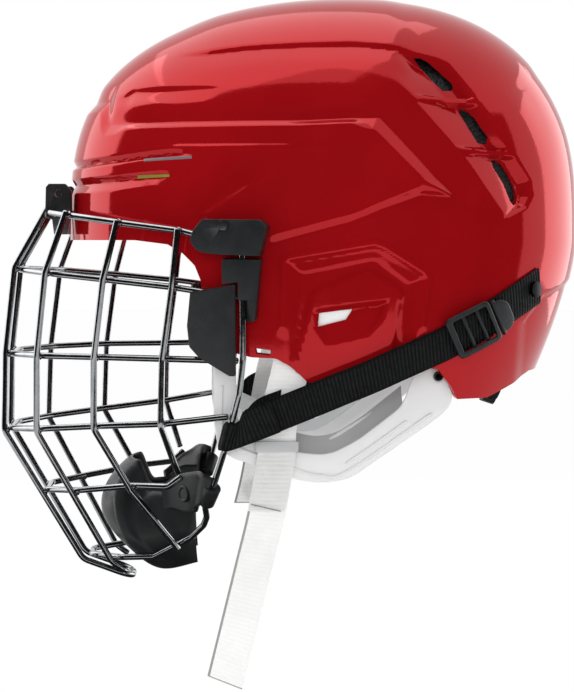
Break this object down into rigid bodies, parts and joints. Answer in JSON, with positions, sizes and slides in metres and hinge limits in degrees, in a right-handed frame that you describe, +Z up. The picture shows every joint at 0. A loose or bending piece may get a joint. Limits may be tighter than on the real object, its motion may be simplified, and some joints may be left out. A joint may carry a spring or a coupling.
{
  "type": "hockey helmet with wire cage",
  "caption": "Hockey helmet: red moulded shell with foam liner, hinged steel wire cage with chin cup, side straps with buckles, ear guards and a fit dial at the nape.",
  "frame": {"origin": "middle of the wearer's head at brow height, on the shell's middle plane and level with its brow edge", "axes": "+Z up, -X towards the face and the cage, +X towards the nape, -Y towards the wearer's left side"},
  "size_m": [0.2958, 0.2036, 0.3417],
  "materials": {
    "shell_red": "gloss",
    "liner_foam": "closed-cell foam",
    "pad_cloth": "brushed cloth over foam",
    "screen_black": "matte",
    "guard_clear": "frosted clear",
    "fastener_steel": "plated",
    "saddle_steel": "bright",
    "wire_chrome": "bright",
    "strap_black": "ribbed webbing",
    "webbing_white": "fine webbing",
    "plastic_grey": "satin",
    "chin_pad_cloth": "cloth over foam",
    "cup_black": "matte moulded",
    "plastic_black": "satin"
  },
  "bodies": {
    "helmet": {"outer_shell": "shell_red", "front_liner": "liner_foam", "left_liner": "liner_foam", "right_liner": "liner_foam", "rear_liner": "liner_foam", "crown_liner": "liner_foam", "forehead_pad": "pad_cloth", "left_temple_pad": "pad_cloth", "right_temple_pad": "pad_cloth", "left_vent_screens": "screen_black", "right_vent_screens": "screen_black", "left_ear_guard": "guard_clear", "right_ear_guard": "guard_clear", "shell_rivets": "fastener_steel", "left_forehead_clip": "plastic_black", "right_forehead_clip": "plastic_black", "forehead_saddles": "saddle_steel", "left_side_clip": "plastic_black", "right_side_clip": "plastic_black", "side_clip_screws": "fastener_steel", "left_harness_strap": "strap_black", "right_harness_strap": "strap_black", "left_buckle": "plastic_black", "right_buckle": "plastic_black", "left_webbing": "webbing_white", "right_webbing": "webbing_white", "left_strap_bar": "plastic_grey", "right_strap_bar": "plastic_grey", "long_chin_strap": "webbing_white", "short_chin_strap": "webbing_white", "chin_strap_slider": "plastic_black", "cradle_carrier": "plastic_black"},
    "cage": {"brow_wire": "wire_chrome", "left_frame_wire": "wire_chrome", "right_frame_wire": "wire_chrome", "left_bar_1": "wire_chrome", "left_bar_2": "wire_chrome", "left_bar_3": "wire_chrome", "left_bar_4": "wire_chrome", "right_bar_1": "wire_chrome", "right_bar_2": "wire_chrome", "right_bar_3": "wire_chrome", "right_bar_4": "wire_chrome", "cross_wire_1": "wire_chrome", "cross_wire_2": "wire_chrome", "cross_wire_3": "wire_chrome", "cross_wire_4": "wire_chrome", "left_sleeve": "plastic_black", "right_sleeve": "plastic_black", "left_side_plate": "plastic_black", "right_side_plate": "plastic_black", "chin_cup": "cup_black", "chin_pad": "chin_pad_cloth", "left_cage_loop": "strap_black", "right_cage_loop": "strap_black"},
    "cradle": {"nape_cradle": "plastic_grey", "nape_pad": "pad_cloth"},
    "dial": {"fit_dial": "plastic_black"},
    "left_lever": {"left_buckle_lever": "plastic_black"},
    "right_lever": {"right_buckle_lever": "plastic_black"}
  },
  "joints": [
    {"name": "cage_swing", "type": "hinge", "parent": "helmet", "child": "cage", "pos_m": [-0.137, 0, 0.0139], "axis": [0, 1, 0], "range_deg": [0, 110]},
    {"name": "dial_turn", "type": "hinge", "parent": "cradle", "child": "dial", "pos_m": [0.08665, 0, -0.069], "axis": [0.9483, 0, -0.3173], "range_deg": [0, 275]},
    {"name": "cradle_slide", "type": "slide", "parent": "helmet", "child": "cradle", "axis": [-1, 0, 0], "range_m": [0, 0.008]},
    {"name": "left_lever_lift", "type": "hinge", "parent": "helmet", "child": "left_lever", "pos_m": [0.08151, -0.08019, -0.03717], "axis": [0.3886, 0.3932, -0.8333], "range_deg": [0, 60]},
    {"name": "right_lever_lift", "type": "hinge", "parent": "helmet", "child": "right_lever", "pos_m": [0.08151, 0.08019, -0.03717], "axis": [-0.3886, 0.3932, 0.8333], "range_deg": [0, 60]}
  ],
  "couplings": [
    {"joint": "dial_turn", "follows": "cradle_slide", "rad_per_m": 589.04}
  ]
}
